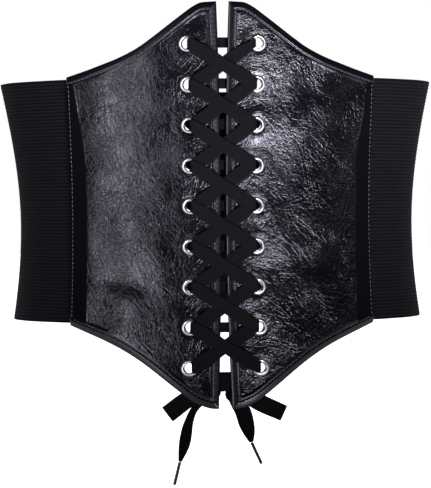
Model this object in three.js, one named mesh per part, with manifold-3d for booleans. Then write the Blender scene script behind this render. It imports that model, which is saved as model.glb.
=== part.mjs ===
// A laced corset belt in its worn form: two leather panels drawn together down the front by one flat
// lace through eighteen eyelets, and a ribbed elastic band from panel to panel round the back.
// Millimetres. The front faces -Y, +X is the viewer's right, +Z is up, and the origin is the middle
// of the waist.
import * as THREE from "three";
import { mergeVertices } from "three/addons/utils/BufferGeometryUtils.js";
import Module from "manifold-3d";

const wasm = await Module();
wasm.setup();

// Space left between pieces that touch
const clearance = 0.3;

// The waist line seen from above: four arcs that meet smoothly, round a side arc's centre at
// sideReach from the middle, with the front and back frontReach past that centre's own arc. The
// narrowest line lies at height.
const waist = {
  height: -15,
  sideRadius: 70,
  sideReach: 53.7,
  frontReach: 23,
};

// How far the loop widens at the sides and at the front and back, at a height above or below the
// narrowest line
const flare = {
  height: 70,
  softness: 70,
  sideAbove: 8.2,
  sideBelow: 7,
  frontAbove: 3.8,
  frontBelow: 4,
};

const panel = {
  width: 95,
  sideHeight: 146,
  tipRise: 41.5,
  tipDrop: 47.5,
  wall: 2,
  columns: 8,
  rows: 8,
};

// The opening between the two panels, which widens towards its ends
const slit = {
  middleWidth: 2.6,
  tipWidth: 7.2,
};

// The turned and stitched border of a panel
const border = {
  width: 4.2,
  puff: 0.35,
  edgeRound: 0.9,
};

const dentDepth = 1.3;

const elastic = {
  height: 143,
  wall: 1.5,
  overlap: 13,
  columns: 34,
  rows: 6,
};

const eyelet = {
  rows: 9,
  tipMargin: 23.7,
  inset: 17.8,
  flangeRadius: 5,
  crown: 0.9,
  boreRadius: 2.75,
  funnel: 0.4,
  tube: 0.5,
  backRadius: 4.4,
  backWall: 0.6,
  sides: 12,
};

const tape = {
  width: 8.4,
  thickness: 0.8,
  barHeight: 6,
  gatheredHeight: 3.1,
  flatShare: 0.76,
  strapDip: 0.75,
  mouthSpread: 1.15,
  turnShare: 0.66,
};

const knot = {
  width: 15,
  height: 12,
  depth: 5.8,
  dropBelowLastRow: 7.9,
  shift: 0.9,
  sides: 10,
  rings: 6,
};

// The space inside a bow loop, and how far the loop lies in front of the knot's centre
const loop = {
  gap: 0.5,
  ahead: 0.8,
};

const aglet = {
  length: 14,
  radius: 1,
  sides: 10,
};

// Height of a panel's top and bottom edge at a share of its width from the slit, as shares of the
// rise and the drop from its side corners to its tips
const panelEdge = [
  { across: 0, top: 1, bottom: 1 },
  { across: 0.05, top: 0.994, bottom: 0.993 },
  { across: 0.1, top: 0.982, bottom: 0.964 },
  { across: 0.155, top: 0.92, bottom: 0.914 },
  { across: 0.205, top: 0.842, bottom: 0.85 },
  { across: 0.3, top: 0.687, bottom: 0.711 },
  { across: 0.4, top: 0.525, bottom: 0.561 },
  { across: 0.5, top: 0.378, bottom: 0.423 },
  { across: 0.62, top: 0.252, bottom: 0.287 },
  { across: 0.74, top: 0.16, bottom: 0.181 },
  { across: 0.86, top: 0.079, bottom: 0.094 },
  { across: 1, top: 0, bottom: 0 },
];

// The border's section: inward as a share of its width, rise as a share of its puff
const borderRelief = [
  { inward: 0, rise: -1.4 },
  { inward: 0.2, rise: 0.9 },
  { inward: 0.75, rise: 1 },
  { inward: 1, rise: -1 },
  { inward: 1.3, rise: 0 },
];

// Broad soft creases of the leather: across and length as shares of the panel's width, up and width
// as shares of half its side height, slope in degrees, depth as a share of dentDepth
const dents = [
  { side: -1, across: 0.6, up: -0.66, length: 0.26, width: 0.1, slope: 14, depth: 1 },
  { side: -1, across: 0.66, up: 0.12, length: 0.2, width: 0.11, slope: -32, depth: 0.55 },
  { side: -1, across: 0.52, up: 0.72, length: 0.2, width: 0.12, slope: 24, depth: 0.6 },
  { side: 1, across: 0.58, up: -0.52, length: 0.24, width: 0.12, slope: -18, depth: 0.7 },
  { side: 1, across: 0.62, up: 0.3, length: 0.22, width: 0.1, slope: 28, depth: 0.6 },
  { side: 1, across: 0.55, up: 0.85, length: 0.2, width: 0.1, slope: -22, depth: 0.6 },
];

// The lace's free ends and the bow's loops. Points are in the picture's plane, measured from the
// knot's centre, and behind is how far the tape lies behind that centre.
const leftRun = [
  { x: -17.6, z: 7.8, behind: 0, width: 5.4 },
  { x: -13.6, z: 6.2, behind: 0.3, width: 5.6 },
  { x: -10.2, z: 5.2, behind: 0.2, width: 5.2 },
  { x: -7.9, z: 4.3, behind: 0, width: 4.6 },
];
const rightRun = [
  { x: 16.6, z: 7.9, behind: 1.3, width: 5.4 },
  { x: 12.4, z: 6.4, behind: 1, width: 5.6 },
  { x: 9.9, z: 5.2, behind: 0.6, width: 5.2 },
  { x: 7.9, z: 4.3, behind: 0.2, width: 4.6 },
];
const leftEnd = [
  { x: -5.6, z: -6.6, behind: 1, width: 4.6 },
  { x: -9.9, z: -8.9, behind: 1.1, width: 4.4 },
  { x: -14.2, z: -11.4, behind: 1.1, width: 4.2 },
  { x: -17.6, z: -14.4, behind: 1, width: 4.2 },
  { x: -20, z: -18, behind: 1, width: 4.4 },
  { x: -21.8, z: -22.6, behind: 1, width: 5.2 },
  { x: -22.6, z: -25.3, behind: 1, width: 5.8 },
  { x: -23.2, z: -28, behind: 1, width: 6.4 },
  { x: -24.3, z: -34.1, behind: 1, width: 6.8 },
  { x: -25.6, z: -39.6, behind: 1, width: 5.4 },
  { x: -27.4, z: -46.2, behind: 1, width: 2 },
];
const rightEnd = [
  { x: 2.4, z: -7.2, behind: 1, width: 6.6 },
  { x: 4.2, z: -9, behind: 1.1, width: 7.6 },
  { x: 6, z: -11.4, behind: 1.1, width: 8.6 },
  { x: 7.7, z: -14, behind: 1.1, width: 9.2 },
  { x: 9.3, z: -17.1, behind: 1.1, width: 9.4 },
  { x: 10.4, z: -20.3, behind: 1.1, width: 9.4 },
  { x: 11.3, z: -23.8, behind: 1.1, width: 9.2 },
  { x: 12.3, z: -27.2, behind: 1.1, width: 8.2 },
  { x: 13.2, z: -30.6, behind: 1.1, width: 6.4 },
  { x: 13.9, z: -33.6, behind: 1, width: 4 },
  { x: 14.3, z: -35.4, behind: 1, width: 2.3 },
];
const leftLoop = [
  { x: -8.2, z: -2.4, width: 6.4 },
  { x: -13.5, z: -4.6, width: 8.8 },
  { x: -22.9, z: -10, width: 10 },
  { x: -33.8, z: -18, width: 10.4 },
];
const rightLoop = [
  { x: 8.2, z: -3, width: 6.6 },
  { x: 13, z: -8, width: 9 },
  { x: 18.8, z: -12, width: 10 },
  { x: 32.4, z: -18.3, width: 9.6 },
];
const leftAgletSlope = 104;
const rightAgletSlope = 65.5;

// A value between two rows of a table, eased so that the slope is smooth
function readTable(table, key, column, at) {
  const last = table.length - 1;
  const found = table.findIndex((row) => row[key] > at);
  const next = found < 0 ? last : Math.max(found, 1);
  const before = table[next - 1];
  const after = table[next];
  const span = after[key] - before[key];
  const share = THREE.MathUtils.clamp((at - before[key]) / span, 0, 1);
  const earlier = table[Math.max(next - 2, 0)];
  const later = table[Math.min(next + 1, last)];
  const slopeIn = (after[column] - earlier[column]) / (after[key] - earlier[key]);
  const slopeOut = (later[column] - before[column]) / (later[key] - before[key]);
  const square = share ** 2;
  const cube = share ** 3;
  const blend = 3 * square - 2 * cube;
  const bendIn = (cube - 2 * square + share) * span * slopeIn;
  const bendOut = (cube - square) * span * slopeOut;
  return (1 - blend) * before[column] + blend * after[column] + bendIn + bendOut;
}

// The flare grows slowly near the narrowest line and then evenly
function flareShare(rise) {
  const reach = (height) => Math.sqrt(1 + (height / flare.softness) ** 2) - 1;
  return reach(rise) / reach(flare.height);
}

// The four arcs of the loop at a height
function ovalAt(z) {
  const rise = z - waist.height;
  const share = flareShare(rise);
  const sideX = waist.sideReach + share * (rise > 0 ? flare.sideAbove : flare.sideBelow);
  const reach = waist.frontReach + share * (rise > 0 ? flare.frontAbove : flare.frontBelow);
  const centreY = (sideX ** 2 - reach ** 2) / (2 * reach);
  const frontRadius = centreY + reach + waist.sideRadius;
  const turn = Math.atan2(sideX, centreY);
  const frontArc = frontRadius * turn;
  const quarter = frontArc + waist.sideRadius * (Math.PI / 2 - turn);
  return { sideX, centreY, frontRadius, turn, frontArc, quarter };
}

// A point of the loop, along it from the middle of the front, positive to the right
function ovalPoint(along, z) {
  const oval = ovalAt(z);
  const onBack = Math.abs(along) > oval.quarter;
  const distance = onBack ? 2 * oval.quarter - Math.abs(along) : Math.abs(along);
  const onFrontArc = distance <= oval.frontArc;
  const sideTurn = oval.turn + (distance - oval.frontArc) / waist.sideRadius;
  const turn = onFrontArc ? distance / oval.frontRadius : sideTurn;
  const radius = onFrontArc ? oval.frontRadius : waist.sideRadius;
  const x = radius * Math.sin(turn) + (onFrontArc ? 0 : oval.sideX);
  const y = (onFrontArc ? oval.centreY : 0) - radius * Math.cos(turn);
  return new THREE.Vector3(along < 0 ? -x : x, onBack ? -y : y, z);
}

// Directions on the wall at a place: right along the loop, up, and out of it
function wallFrame(along, z) {
  const step = 0.5;
  const right = ovalPoint(along + step, z).sub(ovalPoint(along - step, z)).normalize();
  const rise = ovalPoint(along, z + step).sub(ovalPoint(along, z - step));
  const out = new THREE.Vector3().crossVectors(right, rise).normalize();
  const up = new THREE.Vector3().crossVectors(out, right);
  return { right, up, out };
}

function wallPoint(along, z, outward) {
  return ovalPoint(along, z).addScaledVector(wallFrame(along, z).out, outward);
}

// Pushes two triangles for the quad whose corners run anticlockwise seen from outside
function addQuad(indices, a, b, c, d) {
  indices.push(a, b, c, a, c, d);
}

function indexedGeometry(points, indices) {
  const geometry = new THREE.BufferGeometry().setFromPoints(points);
  geometry.setIndex(indices);
  geometry.computeVertexNormals();
  return geometry;
}

// A closed wall between two grids of points with rows from the top down and columns to the right
function wallGeometry(outer, inner) {
  const rows = outer.length;
  const columns = outer[0].length;
  const points = [...outer.flat(), ...inner.flat()];
  const indices = [];
  const behind = rows * columns;
  const right = columns - 1;
  const low = (rows - 1) * columns;
  for (let row = 0; row < rows - 1; row += 1) {
    const start = row * columns;
    const below = start + columns;
    for (let a = start; a < start + right; a += 1) {
      const b = a + columns;
      addQuad(indices, b, b + 1, a + 1, a);
      addQuad(indices, a + behind, a + 1 + behind, b + 1 + behind, b + behind);
    }
    addQuad(indices, start, start + behind, below + behind, below);
    addQuad(indices, below + right, below + right + behind, start + right + behind, start + right);
  }
  for (let a = 0; a < right; a += 1) {
    const b = low + a;
    addQuad(indices, a, a + 1, a + 1 + behind, a + behind);
    addQuad(indices, b + behind, b + 1 + behind, b + 1, b);
  }
  return indexedGeometry(points, indices);
}

// A flat tape through stations that give its middle, the direction of its width and its size there
function tapeGeometry(stations) {
  const half = tape.thickness / 2;
  const ring = [
    [-1, 0],
    [-tape.flatShare, -1],
    [tape.flatShare, -1],
    [1, 0],
    [tape.flatShare, 1],
    [-tape.flatShare, 1],
  ];
  const points = [];
  const indices = [];
  stations.forEach((station, index) => {
    const before = stations[Math.max(index - 1, 0)].middle;
    const after = stations[Math.min(index + 1, stations.length - 1)].middle;
    const onward = new THREE.Vector3().subVectors(after, before).normalize();
    const across = station.across.clone().normalize();
    const through = new THREE.Vector3().crossVectors(onward, across).normalize();
    for (const [share, side] of ring) {
      const point = station.middle.clone();
      point.addScaledVector(across, (share * station.width) / 2);
      points.push(point.addScaledVector(through, side * half));
    }
  });
  const sides = ring.length;
  for (let step = 0; step < stations.length - 1; step += 1) {
    for (let side = 0; side < sides; side += 1) {
      const next = (side + 1) % sides;
      const here = step * sides;
      addQuad(indices, here + side, here + next, here + sides + next, here + sides + side);
    }
  }
  const end = (stations.length - 1) * sides;
  for (let side = 1; side < sides - 1; side += 1) {
    indices.push(0, side + 1, side);
    indices.push(end, end + side, end + side + 1);
  }
  return indexedGeometry(points, indices);
}

function solidOf(geometry) {
  const bare = geometry.clone();
  bare.deleteAttribute("normal");
  bare.deleteAttribute("uv");
  const merged = mergeVertices(bare);
  const vertProperties = merged.attributes.position.array;
  const triVerts = new Uint32Array(merged.index.array);
  return new wasm.Manifold(new wasm.Mesh({ numProp: 3, vertProperties, triVerts }));
}

function geometryOf(solid) {
  const mesh = solid.getMesh();
  const geometry = new THREE.BufferGeometry();
  geometry.setAttribute("position", new THREE.BufferAttribute(mesh.vertProperties, 3));
  geometry.setIndex(new THREE.BufferAttribute(mesh.triVerts, 1));
  geometry.computeVertexNormals();
  return geometry;
}

const leather = () => new THREE.MeshStandardMaterial({ color: 0x15151a, roughness: 0.35 });
const ribbedElastic = () => new THREE.MeshStandardMaterial({ color: 0x101012, roughness: 0.95 });
const nickel = () => new THREE.MeshStandardMaterial({ color: 0xd8d8d6, roughness: 0.2, metalness: 1 });
const wovenTape = () => new THREE.MeshStandardMaterial({ color: 0x121214, roughness: 0.9 });
const glossPlastic = () => new THREE.MeshStandardMaterial({ color: 0x1a1a1c, roughness: 0.25 });

function namedMesh(name, geometry, material) {
  const mesh = new THREE.Mesh(geometry, material);
  mesh.name = name;
  return mesh;
}

// Places on the panels
const topCorner = panel.sideHeight / 2;
const tipHeight = topCorner + panel.tipRise;
const bottomTip = -topCorner - panel.tipDrop;
const slitHalf = (z) => THREE.MathUtils.lerp(slit.middleWidth, slit.tipWidth, (z / tipHeight) ** 2) / 2;
const pitch = (tipHeight - bottomTip - 2 * eyelet.tipMargin) / (eyelet.rows - 1);
const rowHeight = (row) => tipHeight - eyelet.tipMargin - row * pitch;
const eyeletAlong = (z) => slitHalf(z) + eyelet.inset;
const edgeShare = (column, across) => readTable(panelEdge, "across", column, across);
const topEdge = (across) => topCorner + panel.tipRise * edgeShare("top", across);
const bottomEdge = (across) => -topCorner - panel.tipDrop * edgeShare("bottom", across);

// How much longer an edge is than its run along the panel, at a place
function edgeStretch(edge, across) {
  const step = 0.02;
  const low = Math.max(across - step, 0);
  const high = Math.min(across + step, 1);
  return Math.hypot(1, (edge(high) - edge(low)) / ((high - low) * panel.width));
}

// Evenly spaced values between two limits, without the limits
function between(low, high, count) {
  return Array.from({ length: count }, (_, index) => low + ((high - low) * (index + 1)) / (count + 1));
}

function dentAt(side, across, z) {
  const up = z / topCorner;
  let depth = 0;
  for (const dent of dents.filter((row) => row.side === side)) {
    const slope = THREE.MathUtils.degToRad(dent.slope);
    const run = (across - dent.across) * panel.width;
    const rise = (up - dent.up) * topCorner;
    const lengthwise = (run * Math.cos(slope) + rise * Math.sin(slope)) / (dent.length * panel.width);
    const sideways = (rise * Math.cos(slope) - run * Math.sin(slope)) / (dent.width * topCorner);
    depth += dent.depth * dentDepth * Math.exp(-2 * (lengthwise ** 2 + sideways ** 2));
  }
  const eyeletsEnd = eyelet.inset + eyelet.flangeRadius;
  const pastEyelets = THREE.MathUtils.smoothstep(across * panel.width, eyeletsEnd, 2 * eyeletsEnd);
  const fromSide = (1 - across) * panel.width;
  const beforeElastic = THREE.MathUtils.smoothstep(fromSide, elastic.overlap, 2 * elastic.overlap);
  return depth * pastEyelets * beforeElastic;
}

function borderRise(distance) {
  const inward = distance / border.width;
  const last = borderRelief[borderRelief.length - 1];
  return inward >= last.inward ? 0 : border.puff * readTable(borderRelief, "inward", "rise", inward);
}

// A panel as a grid that follows its edges; side is -1 for the left one and 1 for the right one
function panelGeometry(side) {
  const steps = borderRelief.map((row) => row.inward * border.width);
  const inner = steps[steps.length - 1];
  const sideStep = panel.width - border.edgeRound;
  const columns = [...steps, ...between(inner, sideStep, panel.columns), sideStep, panel.width];
  const outerGrid = [];
  const innerGrid = [];
  for (let row = 0; row < 2 * steps.length + panel.rows; row += 1) {
    const outerRow = [];
    const innerRow = [];
    for (const fromSlit of columns) {
      const across = fromSlit / panel.width;
      const top = topEdge(across);
      const bottom = bottomEdge(across);
      const topSteps = steps.map((step) => top - step * edgeStretch(topEdge, across));
      const bottomSteps = steps.map((step) => bottom + step * edgeStretch(bottomEdge, across));
      const middle = between(topSteps[steps.length - 1], bottomSteps[steps.length - 1], panel.rows);
      const heights = [...topSteps, ...middle, ...bottomSteps.reverse()];
      const z = heights[row];
      const fromTop = row < steps.length ? steps[row] : inner;
      const rowFromBottom = heights.length - 1 - row;
      const fromBottom = rowFromBottom < steps.length ? steps[rowFromBottom] : inner;
      const rise = borderRise(Math.min(fromSlit, fromTop, fromBottom));
      const edgeRise = fromSlit === panel.width ? borderRise(0) : rise;
      const along = slitHalf(z) + fromSlit;
      const dent = dentAt(side, across, z);
      outerRow.push(wallPoint(side * along, z, edgeRise - dent));
      innerRow.push(wallPoint(side * along, z, -panel.wall - dent));
    }
    outerGrid.push(side < 0 ? outerRow.reverse() : outerRow);
    innerGrid.push(side < 0 ? innerRow.reverse() : innerRow);
  }
  return wallGeometry(outerGrid, innerGrid);
}

// Turns a shape made round the Y axis so that the axis points out of the wall at a place
function standOnWall(object, along, z) {
  const { right, up, out } = wallFrame(along, z);
  const turned = new THREE.Matrix4().makeBasis(right, out, up.negate());
  object.applyMatrix4(turned.setPosition(ovalPoint(along, z)));
}

function makePanel(side) {
  let solid = solidOf(panelGeometry(side));
  const holeRadius = eyelet.boreRadius + eyelet.tube + clearance;
  const cutLength = 4 * panel.wall;
  for (let row = 0; row < eyelet.rows; row += 1) {
    const z = rowHeight(row);
    const cutter = new THREE.CylinderGeometry(holeRadius, holeRadius, cutLength, eyelet.sides);
    standOnWall(cutter, side * eyeletAlong(z), z);
    solid = solid.subtract(solidOf(cutter));
  }
  return namedMesh(side < 0 ? "panel_left" : "panel_right", geometryOf(solid), leather());
}

// The band starts under one panel's side margin and ends under the other's
function makeElastic() {
  const outerOffset = -panel.wall - clearance;
  const outerGrid = [];
  const innerGrid = [];
  for (let row = 0; row <= elastic.rows; row += 1) {
    const z = elastic.height * (0.5 - row / elastic.rows);
    const start = slitHalf(z) + panel.width - elastic.overlap;
    const length = 4 * ovalAt(z).quarter - 2 * start;
    const outerRow = [];
    const innerRow = [];
    for (let column = 0; column <= elastic.columns; column += 1) {
      const along = start + (length * column) / elastic.columns;
      const wrapped = along > 2 * ovalAt(z).quarter ? along - 4 * ovalAt(z).quarter : along;
      outerRow.push(wallPoint(wrapped, z, outerOffset));
      innerRow.push(wallPoint(wrapped, z, outerOffset - elastic.wall));
    }
    outerGrid.push(outerRow);
    innerGrid.push(innerRow);
  }
  return namedMesh("elastic_band", wallGeometry(outerGrid, innerGrid), ribbedElastic());
}

// An eyelet's section: a flared front flange, the tube and the clinched back flange
function eyeletProfile() {
  const front = clearance;
  const back = -panel.wall - clearance;
  const mouth = eyelet.boreRadius + eyelet.funnel;
  const tubeOutside = eyelet.boreRadius + eyelet.tube;
  const crownRadius = (mouth + eyelet.flangeRadius) / 2;
  const profile = [
    [eyelet.boreRadius, back - eyelet.backWall],
    [eyelet.backRadius, back - eyelet.backWall],
    [eyelet.backRadius, back],
    [tubeOutside, back],
    [tubeOutside, front],
    [eyelet.flangeRadius, front],
    [crownRadius, front + eyelet.crown],
    [mouth, front + eyelet.crown / 2],
    [eyelet.boreRadius, back - eyelet.backWall],
  ];
  return profile.map(([radius, height]) => new THREE.Vector2(radius, height));
}

function makeEyelet(side, row) {
  const z = rowHeight(row);
  const name = `eyelet_${side < 0 ? "left" : "right"}_${row + 1}`;
  const mesh = namedMesh(name, new THREE.LatheGeometry(eyeletProfile(), eyelet.sides), nickel());
  standOnWall(mesh, side * eyeletAlong(z), z);
  return mesh;
}

// Where a strand stands in a hole, over the leather and behind it. The strand of layer 1 lies over
// the strand of layer 0 in front, and further from the wall behind.
const layerStep = tape.thickness + clearance;
const boreFlat = eyelet.boreRadius * Math.cos(Math.PI / eyelet.sides);
const gatheredFlat = (tape.gatheredHeight / 2) * tape.flatShare;
const holeReach = Math.sqrt(boreFlat ** 2 - gatheredFlat ** 2) - clearance - tape.thickness / 2;
const holeLine = (layer, z) => eyeletAlong(z) - holeReach + layer * layerStep;
const frontRise = clearance + eyelet.crown + clearance + tape.thickness / 2;
const frontOut = (layer) => frontRise + layer * layerStep;
const backRise = panel.wall + clearance + eyelet.backWall + clearance + tape.thickness / 2;
const backOut = (layer) => -backRise - layer * layerStep;
const bend = tape.thickness;

function wallStation(along, z, outward, width) {
  return { middle: wallPoint(along, z, outward), across: wallFrame(along, z).up, width };
}

// The tape's way up through a hole: out of the back bar, through the eyelet and over its rim
function riseThroughHole(side, layer, z, strapHeight) {
  const line = holeLine(layer, z);
  const turned = bend * (1 - Math.SQRT1_2);
  const front = frontOut(layer);
  const back = backOut(layer);
  const halfway = (tape.gatheredHeight + tape.barHeight) / 2;
  return [
    wallStation(side * (line - bend), z, back, tape.barHeight),
    wallStation(side * (line - turned), z, back + turned, halfway),
    wallStation(side * line, z, back + bend, tape.gatheredHeight),
    wallStation(side * line, z, frontRise - bend, tape.gatheredHeight * tape.mouthSpread),
    wallStation(side * (line - turned), z, front - turned, strapHeight * tape.turnShare),
    wallStation(side * (line - bend), z, front, strapHeight),
  ];
}

// One strand from the top row down. It leaves each row on one side, crosses in front to the next row
// on the other side, and returns behind. direction is 1 where it crosses to the right.
function strandStations(direction, layer) {
  const stations = [];
  for (let row = 0; row < eyelet.rows; row += 1) {
    const z = rowHeight(row);
    const run = 2 * eyeletAlong(z);
    const strapHeight = (tape.width * Math.hypot(run, pitch)) / run;
    const isLast = row === eyelet.rows - 1;
    if (row > 0) {
      stations.push(...riseThroughHole(direction, layer, z, strapHeight).reverse());
    }
    if (row > 0 && !isLast) {
      stations.push(wallStation(0, z, backOut(layer), tape.barHeight));
    }
    if (isLast) {
      break;
    }
    stations.push(...riseThroughHole(-direction, layer, z, strapHeight));
    for (const share of [1 / 3, 2 / 3]) {
      const nextZ = rowHeight(row + 1);
      const startAlong = -direction * (holeLine(layer, z) - bend);
      const endAlong = direction * (holeLine(layer, nextZ) - bend);
      const along = THREE.MathUtils.lerp(startAlong, endAlong, share);
      const dip = tape.strapDip * Math.sin(Math.PI * share);
      const height = THREE.MathUtils.lerp(z, nextZ, share);
      stations.push(wallStation(along, height, frontOut(layer) - dip, strapHeight));
    }
  }
  return stations;
}

function makeLace() {
  const topZ = rowHeight(0);
  const topBar = wallStation(0, topZ, (backOut(0) + backOut(1)) / 2, tape.barHeight);
  const stations = [...strandStations(1, 1).reverse(), topBar, ...strandStations(-1, 0)];
  return namedMesh("lace", tapeGeometry(stations), wovenTape());
}

// The bow hangs behind the slit's lower end
const knotHeight = rowHeight(eyelet.rows - 1) - knot.dropBelowLastRow;
const knotOut = -panel.wall - 2 * clearance - knot.depth / 2;
const knotCentre = wallPoint(0, knotHeight, knotOut).add(new THREE.Vector3(knot.shift, 0, 0));

function makeKnot() {
  const geometry = new THREE.SphereGeometry(0.5, knot.sides, knot.rings);
  geometry.scale(knot.width, knot.depth, knot.height);
  geometry.translate(...knotCentre.toArray());
  return namedMesh("lace_knot", geometry, wovenTape());
}

// Stations of a tape that faces the viewer, from a route's points
function facingStations(route) {
  return route.map((point, index) => {
    const before = route[Math.max(index - 1, 0)];
    const after = route[Math.min(index + 1, route.length - 1)];
    const middle = knotCentre.clone().add(new THREE.Vector3(point.x, point.behind, point.z));
    const across = new THREE.Vector3(before.z - after.z, 0, after.x - before.x);
    return { middle, across, width: point.width };
  });
}

function makeRun(side) {
  const route = side < 0 ? leftRun : rightRun;
  const name = side < 0 ? "lace_run_left" : "lace_run_right";
  return namedMesh(name, tapeGeometry(facingStations(route)), wovenTape());
}

function makeEnd(side) {
  const route = side < 0 ? leftEnd : rightEnd;
  const name = side < 0 ? "lace_end_left" : "lace_end_right";
  return namedMesh(name, tapeGeometry(facingStations(route)), wovenTape());
}

// A loop is the tape laid out to the fold and back behind itself
function makeLoop(side) {
  const route = side < 0 ? leftLoop : rightLoop;
  const half = (tape.thickness + loop.gap) / 2;
  const forward = facingStations(route.map((point) => ({ ...point, behind: -half - loop.ahead })));
  const back = facingStations(route.map((point) => ({ ...point, behind: half - loop.ahead })));
  const end = forward[forward.length - 1];
  const onward = new THREE.Vector3().crossVectors(end.across, new THREE.Vector3(0, 1, 0)).normalize();
  const fold = {
    middle: end.middle.clone().addScaledVector(onward, -half).add(new THREE.Vector3(0, half, 0)),
    across: end.across,
    width: end.width,
  };
  const name = side < 0 ? "bow_loop_left" : "bow_loop_right";
  return namedMesh(name, tapeGeometry([...forward, fold, ...back.reverse()]), wovenTape());
}

function makeAglet(side) {
  const route = side < 0 ? leftEnd : rightEnd;
  const tip = route[route.length - 1];
  const slope = THREE.MathUtils.degToRad(side < 0 ? leftAgletSlope : rightAgletSlope);
  const onward = new THREE.Vector3(Math.cos(slope), 0, -Math.sin(slope));
  const start = knotCentre.clone().add(new THREE.Vector3(tip.x, tip.behind, tip.z));
  const geometry = new THREE.CylinderGeometry(aglet.radius, aglet.radius, aglet.length, aglet.sides);
  const mesh = namedMesh(side < 0 ? "aglet_left" : "aglet_right", geometry, glossPlastic());
  mesh.quaternion.setFromUnitVectors(new THREE.Vector3(0, 1, 0), onward);
  mesh.position.copy(start).addScaledVector(onward, clearance + aglet.length / 2);
  return mesh;
}

const corsetBelt = new THREE.Group();
corsetBelt.add(makeElastic(), makeLace(), makeKnot());
for (const side of [-1, 1]) {
  corsetBelt.add(makePanel(side), makeRun(side), makeLoop(side), makeEnd(side), makeAglet(side));
  for (let row = 0; row < eyelet.rows; row += 1) {
    corsetBelt.add(makeEyelet(side, row));
  }
}

export default corsetBelt;
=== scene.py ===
# The laced corset belt dressed for its picture: creased glossy leather, ribbed elastic, rolled nickel
# eyelets and a woven lace with its bow. Shapes are worked out in millimetres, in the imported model's
# frame, and become metres when a mesh is made.
import math
from types import SimpleNamespace as Sizes

import bpy
import numpy as np
from mathutils import Matrix, Vector


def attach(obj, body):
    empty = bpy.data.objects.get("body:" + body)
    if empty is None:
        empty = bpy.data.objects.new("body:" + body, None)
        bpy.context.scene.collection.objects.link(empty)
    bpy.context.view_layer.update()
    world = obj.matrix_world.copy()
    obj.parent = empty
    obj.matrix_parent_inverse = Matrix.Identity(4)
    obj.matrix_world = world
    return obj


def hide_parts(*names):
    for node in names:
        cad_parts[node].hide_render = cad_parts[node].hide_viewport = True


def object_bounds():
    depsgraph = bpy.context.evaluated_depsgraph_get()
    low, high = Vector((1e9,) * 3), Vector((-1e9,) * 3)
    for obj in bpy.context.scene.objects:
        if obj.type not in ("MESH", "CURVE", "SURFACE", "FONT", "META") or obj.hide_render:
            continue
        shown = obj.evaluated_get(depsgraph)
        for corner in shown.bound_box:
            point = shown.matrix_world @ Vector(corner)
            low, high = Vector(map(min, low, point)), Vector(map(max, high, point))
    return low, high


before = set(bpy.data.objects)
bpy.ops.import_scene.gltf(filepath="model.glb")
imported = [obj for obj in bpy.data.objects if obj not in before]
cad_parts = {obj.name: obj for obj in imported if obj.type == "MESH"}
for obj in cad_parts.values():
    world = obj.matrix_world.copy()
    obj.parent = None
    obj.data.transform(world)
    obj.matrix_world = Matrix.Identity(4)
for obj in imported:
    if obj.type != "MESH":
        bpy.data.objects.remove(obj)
cad_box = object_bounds()

MM = 0.001

# Sizes shared with the solids
clearance = 0.3
waist = Sizes(height=-15, side_radius=70, side_reach=53.7, front_reach=23)
flare = Sizes(height=70, softness=70, side_above=8.2, side_below=7, front_above=3.8, front_below=4)
panel = Sizes(width=95, side_height=146, tip_rise=41.5, tip_drop=47.5, wall=2)
slit = Sizes(middle_width=2.6, tip_width=7.2)
border = Sizes(width=4.2, puff=0.5, thin=0.6, brow=0.6, inner_gap=0.4, inner_soft=2.2)
elastic = Sizes(height=143, wall=1.5, overlap=13)
eyelet = Sizes(rows=9, tip_margin=23.7, inset=17.8, flange_radius=5, crown=0.9, bore_radius=2.75,
               back_wall=0.6, sides=12)
tape = Sizes(width=8.4, thickness=0.8, bar_height=6, gathered_height=3.1, gathered_share=0.76,
             mouth_swell=0.15, strap_dip=0.75)
knot = Sizes(width=15, height=12, depth=5.8, drop_below_last_row=7.9, shift=0.9, band_width=9.6, crown=0.25)
loop = Sizes(gap=0.5, ahead=0.8)
aglet = Sizes(length=14, radius=1, end_round=0.35, lap=0.06)
dent_depth = 1.3

# Height of a panel's top and bottom edge at a share of its width from the slit, as shares of the
# rise and the drop from its side corners to its tips: across, top, bottom
panel_edge = np.array([
    (0, 1, 1),
    (0.05, 0.994, 0.993),
    (0.1, 0.982, 0.964),
    (0.155, 0.92, 0.914),
    (0.205, 0.842, 0.85),
    (0.3, 0.687, 0.711),
    (0.4, 0.525, 0.561),
    (0.5, 0.378, 0.423),
    (0.62, 0.252, 0.287),
    (0.74, 0.16, 0.181),
    (0.86, 0.079, 0.094),
    (1, 0, 0),
])

# Broad soft creases: side, across, up, length, width, slope in degrees, depth
dents = [
    (-1, 0.6, -0.66, 0.34, 0.13, 14, 1.3),
    (-1, 0.66, 0.12, 0.2, 0.11, -32, 0.55),
    (-1, 0.52, 0.72, 0.2, 0.12, 24, 0.6),
    (1, 0.58, -0.52, 0.24, 0.12, -18, 0.7),
    (1, 0.62, 0.3, 0.22, 0.1, 28, 0.6),
    (1, 0.55, 0.85, 0.2, 0.1, -22, 0.6),
]

# Long fine creases: side, then from the slit and height at each end
long_creases = [
    (-1, 79.5, 50.2, 65.4, 55.8),
    (-1, 65.4, 55.8, 52.5, 64.5),
    (-1, 69.9, 39.5, 56.3, 45),
    (-1, 83.8, 29.2, 65.5, 30.8),
    (-1, 47.4, -40.8, 29.9, -53.5),
    (-1, 62.1, -68.2, 40.1, -88.2),
    (1, 70.6, 44.2, 80.1, 58.5),
    (1, 44.6, 18.5, 58.8, 29),
    (1, 21.2, -7, 44.7, -0.2),
]

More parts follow.
